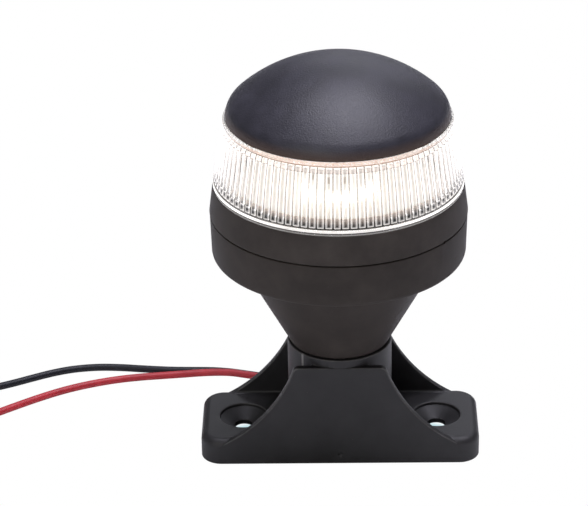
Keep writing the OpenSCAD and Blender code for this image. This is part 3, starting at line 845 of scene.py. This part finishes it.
# ---------- cap ----------
CAP_R, SHOULDER, DOME, WALL, RIM_Z = 31.2, 6.2, 43.1, 2.2, 103
side = CAP_R - SHOULDER
lean = math.degrees(math.asin(side / (DOME - SHOULDER)))
dome_z = RIM_Z - (DOME - SHOULDER) * math.cos(math.radians(lean))
inner = side + (SHOULDER - WALL) * math.sin(math.radians(lean))
SPIGOT_R, SPIGOT_Z = 28.9, 100
cap_outline = (
    arc(0, dome_z, DOME, 90, 90 - lean, 48)[:-1] + arc(side, RIM_Z, SHOULDER, 90 - lean, 0, 28)
    + [(CAP_R - 0.08, RIM_Z - 0.02), (SPIGOT_R, RIM_Z - 0.02), (SPIGOT_R, SPIGOT_Z),
       (SPIGOT_R - 0.2, SPIGOT_Z - 0.2), (inner + 0.2, SPIGOT_Z - 0.2), (inner, SPIGOT_Z)]
    + arc(0, dome_z, DOME - WALL, 90 - lean, 90, 20))
cap_outline[0] = (0, cap_outline[0][1])
cap_outline[-1] = (0, cap_outline[-1][1])
cap = lathe("top_cap_moulding", cap_outline, closed=False)
place(cap, HEAD, "cap", "cap_black", "top_cap")


# ---------- ribbed lens ----------
RIBS, RIB_H, RIB_SHARE, RIB_TURN = 96, 0.42, 0.87, -0.69
RIB_Z0, RIB_Z1, LENS_Z1 = 84.8, 101.55, 103
RIB_FOOT, RIB_TIP = 0.4, 0.5
LENS_FOOT_Z, LENS_R0, LENS_R1, LENS_SWELL, LENS_WALL = 84.4, 34.85, 31.8, 0.8, 2.2
BORE, SEAT_Z = 31.2, 79.5
# places across one rib, from -1 to 1, and None for the floor between two ribs
ACROSS = [-1, -0.98, -0.9, -0.78, -0.6, -0.25, 0.25, 0.6, 0.78, 0.9, 0.98, 1, None]


def lens_r(z):
    t = (z - LENS_FOOT_Z) / (LENS_Z1 - LENS_FOOT_Z)
    return LENS_R0 + (LENS_R1 - LENS_R0) * t + LENS_SWELL * t * (1 - t)


def ramp(x, a, b):
    t = max(0.0, min(1.0, (x - a) / (b - a)))
    return t * t * (3 - 2 * t)


def ribbed_lens(name):
    """Turned lens whose outer wall carries its ribs as real shape. Each vertex has two marks for the material:
    "lit", painted light where the moulding catches the light, and a second one of painted shade, for the dark
    that shows through between the ribs, on their flanks and low on their faces."""
    slots = ACROSS * RIBS
    angles = [math.radians(RIB_TURN)
              + 2 * PI * (k // len(ACROSS) + (0.5 if u is None else 0.5 * RIB_SHARE * u)) / RIBS
              for k, u in enumerate(slots)]
    n = len(angles)
    pts, rings, lit, painted_shade = [], [], [], []

    def ring(r, z, glow=0.0, dark=0.0):
        radii = r if isinstance(r, list) else [r] * n
        rings.append(list(range(len(pts), len(pts) + n)))
        pts.extend((q * math.cos(a), q * math.sin(a), z) for q, a in zip(radii, angles))
        lit.extend(glow if isinstance(glow, list) else [glow] * n)
        painted_shade.extend(dark if isinstance(dark, list) else [dark] * n)

    def rib_row(z, kind="mid", v=0.0):
        """One height of the ribs; v runs from 0 to 1 towards the end of a foot or a tip."""
        floor = lens_r(z) - RIB_H
        half = RIB_SHARE * PI * lens_r(z) / RIBS
        # painted light (veil) low and high on the ribs, and painted shade (deep, low) in the floor between the
        # ribs and on the ribs' lower faces
        veil = 0.22 * ramp(z, 86.4, 88.6) + 0.45 * ramp(z, 99.6, 100.6)
        deep = 1 - 0.45 * ramp(z, 87, 89)
        low = 0.62 * (1 - ramp(z, 86.8, 88.6))
        radii, glow, dark = [], [], []
        for u in slots:
            if u is None:
                radii.append(floor)
                glow.append(veil * 0.5)
                dark.append(deep)
                continue
            m = min(1.0, math.hypot(u, v) if kind == "tip" else (abs(u) ** 6 + v ** 6) ** (1 / 6))
            radii.append(floor + RIB_H * (1 - m ** 5) ** 0.5)
            inset = min((1 - abs(u)) * half, z - RIB_Z0)
            outline = ramp(inset, 0.02, 0.16) * (1 - ramp(inset, 0.3, 0.5))
            flank = ramp(abs(u), 0.86, 0.96)
            glow.append(min(1.0, outline + veil * (1 - 0.7 * flank)))
            # painted shade on the lower faces and the flanks of the ribs
            face = low * (1 - ramp(abs(u), 0.6, 0.85))
            dark.append(max(face, flank * (0.9 if abs(u) < 0.99 else deep)))
        ring(radii, z, glow, dark)

    # seat flange, and the foot flange above the bezel
    for r, z, glow in ((33.2, SEAT_Z, 0), (33.2, 82.8, 0), (34.9, 82.8, 0.1), (35.0, 82.88, 0.3),
                       (35.0, 83.2, 0.3), (34.7, 83.3, 0), (34.7, 83.5, 0), (35.06, 83.65, 1.3),
                       (35.08, 84.2, 1.3), (34.95, 84.36, 1.3), (34.7, 84.4, 0.1), (34.46, 84.42, 0)):
        ring(r, z, glow)
    ring(lens_r(RIB_Z0) - RIB_H, RIB_Z0 - 0.03, 0, 1)
    for v in (0.995, 0.95, 0.85, 0.6, 0.25, 0):
        rib_row(RIB_Z0 + RIB_FOOT * (1 - v), "foot", v)
    for z in (85.5, 86.4, 87.2, 88.0, 88.8, 91, 94, 97, 99.4, 100.2, 100.8):
        rib_row(z)
    for v in (0, 0.3, 0.55, 0.75, 0.88, 0.95, 1.0):
        rib_row(RIB_Z1 - RIB_TIP * (1 - v), "tip", v)
    # the channel above the tips, marked fully dark: painted shade
    ring(lens_r(101.6) - RIB_H, 101.58, 0, 1)
    ring(lens_r(101.95) - RIB_H, 101.95, 0, 1)
    # smooth band with two faint steps, then the top face and the gasket's seat
    for z, step in ((101.98, 0.12), (102.3, 0.05), (102.34, 0.12), (102.62, 0.12), (102.66, 0.2),
                    (102.85, 0.22)):
        ring(lens_r(z) - step, z)
    for r, z in ((31.5, LENS_Z1), (29.95, LENS_Z1), (29.95, 100.7), (29.1, 100.7), (29.1, 99.9)):
        ring(r, z)
    # the inner wall, down to the bore
    for z in (99.2, 96, 93.25, 90.5, 87.75, 85):
        ring(lens_r(z) - LENS_WALL, z)
    ring(BORE, 83.2)
    ring(BORE, SEAT_Z)
    faces = []
    for i, a in enumerate(rings):
        b = rings[(i + 1) % len(rings)]
        faces += [[a[k], a[(k + 1) % n], b[(k + 1) % n], b[k]] for k in range(n)]
    lens = outward(mesh_piece(name, pts, faces, sharp=50))
    for mark, values in (("lit", lit), ("painted_shade", painted_shade)):
        lens.data.attributes.new(mark, "FLOAT", "POINT").data.foreach_set("value", values)
    return lens


lens = ribbed_lens("ribbed_lens")
place(lens, HEAD, "lens", "clear_lens", "lens")


# ---------- stage ----------
def wired(tree, kind, sockets, **settings):
    """A node; each of its sockets is given a value or the output that feeds it."""
    node = tree.nodes.new(kind)
    for key, value in settings.items():
        setattr(node, key, value)
    for key, value in sockets.items():
        if isinstance(value, bpy.types.NodeSocket):
            tree.links.new(value, node.inputs[key])
        else:
            node.inputs[key].default_value = value
    return node


def step_down(tree, value, start, end, left):
    """1 below start, then down to what is left at end."""
    return wired(tree, "ShaderNodeMapRange", {"Value": value, "From Min": start, "From Max": end,
                                              "To Min": 1, "To Max": left}).outputs[0]


def seen_white(tree):
    """1 for a ray from the camera that has met nothing but the clear lens on its way, and 0 for any other."""
    path = tree.nodes.new("ShaderNodeLightPath").outputs
    reach = wired(tree, "ShaderNodeMath", {0: path["Is Camera Ray"], 1: path["Transmission Depth"]},
                  operation="ADD", use_clamp=True).outputs[0]
    bare = wired(tree, "ShaderNodeMath", {0: path["Diffuse Depth"], 1: 0.5}, operation="LESS_THAN").outputs[0]
    value = wired(tree, "ShaderNodeMath", {0: reach, 1: bare}, operation="MULTIPLY").outputs[0]
    # rays turned back inside the lens, or grazing through many ribs, meet the darker room
    for depth, limit, left in (("Glossy Depth", 0.5, 0.45), ("Transmission Depth", 4.5, 0.3)):
        dim = step_down(tree, path[depth], limit - 0.1, limit + 0.1, left)
        value = wired(tree, "ShaderNodeMath", {0: value, 1: dim}, operation="MULTIPLY").outputs[0]
    return value


# painted shade on the floor under the base
SHADE_UNDER_BASE, TINT_R0, TINT_R1 = srgb(196, 226, 232), 0.0105, 0.012


def white_floor():
    bpy.ops.mesh.primitive_plane_add(size=6, location=(0, 0, 0))
    floor = bpy.context.object
    floor.name = "studio_floor"
    m = bpy.data.materials.new("studio_white")
    m.use_nodes = True
    t = m.node_tree
    t.nodes.clear()
    # painted shade: a faint darker blue-grey tint under the base, which shows through the two screw holes
    where = t.nodes.new("ShaderNodeTexCoord").outputs["Object"]
    narrow = wired(t, "ShaderNodeMapping", {"Vector": where, "Scale": (0.3, 1, 1)}).outputs[0]
    span = wired(t, "ShaderNodeVectorMath", {0: narrow}, operation="LENGTH").outputs["Value"]
    tint = wired(t, "ShaderNodeMix", {}, data_type="RGBA")
    tint.inputs["A"].default_value = (1, 1, 1, 1)
    tint.inputs["B"].default_value = SHADE_UNDER_BASE
    t.links.new(step_down(t, span, TINT_R0, TINT_R1, 0), tint.inputs["Factor"])
    seen = wired(t, "ShaderNodeEmission", {"Color": tint.outputs["Result"], "Strength": 1.0})
    other = wired(t, "ShaderNodeBsdfDiffuse", {"Color": (0.8, 0.8, 0.8, 1)})
    mix = wired(t, "ShaderNodeMixShader", {0: seen_white(t), 1: other.outputs[0], 2: seen.outputs[0]})
    wired(t, "ShaderNodeOutputMaterial", {0: mix.outputs[0]})
    floor.data.materials.append(m)


def white_world(lit):
    world = bpy.data.worlds.new("studio")
    bpy.context.scene.world = world
    world.use_nodes = True
    t = world.node_tree
    t.nodes.clear()
    room, backdrop = (wired(t, "ShaderNodeBackground", {"Strength": strength, "Color": (1, 1, 1, 1)}).outputs[0]
                      for strength in (lit, 1.0))
    mix = wired(t, "ShaderNodeMixShader", {0: seen_white(t), 1: room, 2: backdrop})
    wired(t, "ShaderNodeOutputWorld", {0: mix.outputs[0]})


def softbox(name, at, towards, width, height, watts, colour):
    data = bpy.data.lights.new(name, "AREA")
    data.shape, data.size, data.size_y = "RECTANGLE", width, height
    data.energy, data.color = watts, colour
    light = link(bpy.data.objects.new(name, data))
    light.location = at
    light.rotation_euler = (Vector(towards) - Vector(at)).to_track_quat("-Z", "Y").to_euler()
    return light


white_floor()
white_world(0.12)
softbox("overhead", (0.1, 0.08, 1.0), (0, 0.02, 0.08), 0.7, 0.7, 12.5, (0.89, 0.88, 1.0))
softbox("front_fill", (-0.5, -1.1, 0.7), (0, 0, 0.06), 0.8, 0.8, 4.6, (1.0, 0.98, 0.95))
softbox("rear_strip", (0.15, 1.0, 0.5), (0, 0, 0.02), 0.7, 0.4, 1.5, (0.9, 0.92, 1.0))
bpy.context.scene.view_settings.view_transform = "Standard"
